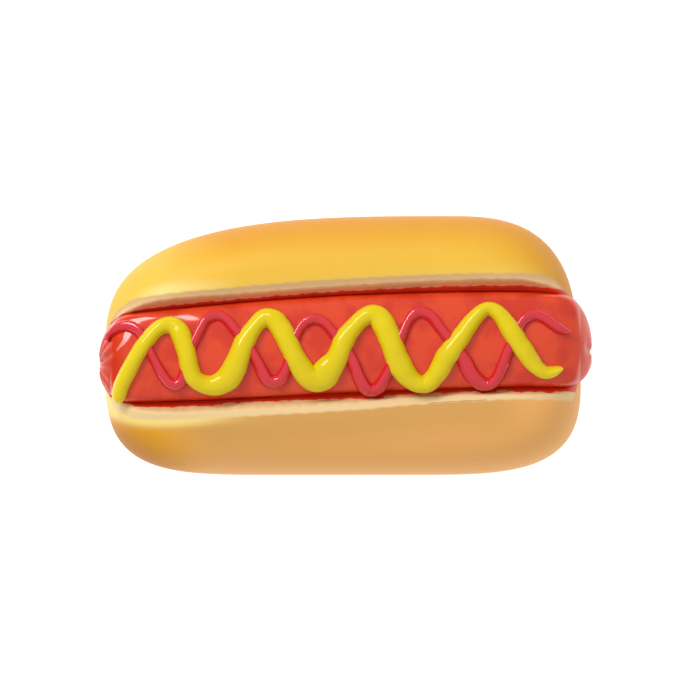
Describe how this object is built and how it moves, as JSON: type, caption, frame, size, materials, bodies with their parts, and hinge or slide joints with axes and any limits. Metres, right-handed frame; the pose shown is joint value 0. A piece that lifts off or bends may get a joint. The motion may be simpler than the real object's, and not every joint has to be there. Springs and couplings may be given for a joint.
{
  "type": "toy hot dog",
  "caption": "Small moulded toy hot dog: split golden bun with torn crumb edges, glossy red sausage, crossed ketchup and mustard zigzags, flat back.",
  "frame": {"origin": "centre of the overall box at the flat back, which is the bottom", "axes": "+X along the sausage, +Y across it towards the fuller half of the bun, +Z out of the flat back towards the sauces"},
  "size_m": [0.04, 0.021, 0.0104],
  "materials": {
    "bun": "satin golden crust with cream torn faces and a dark red painted gutter",
    "sausage": "glossy",
    "ketchup": "glossy",
    "mustard": "glossy"
  },
  "bodies": {
    "root": {"bun": "bun", "sausage": "sausage", "ketchup": "ketchup", "mustard": "mustard"}
  },
  "joints": []
}
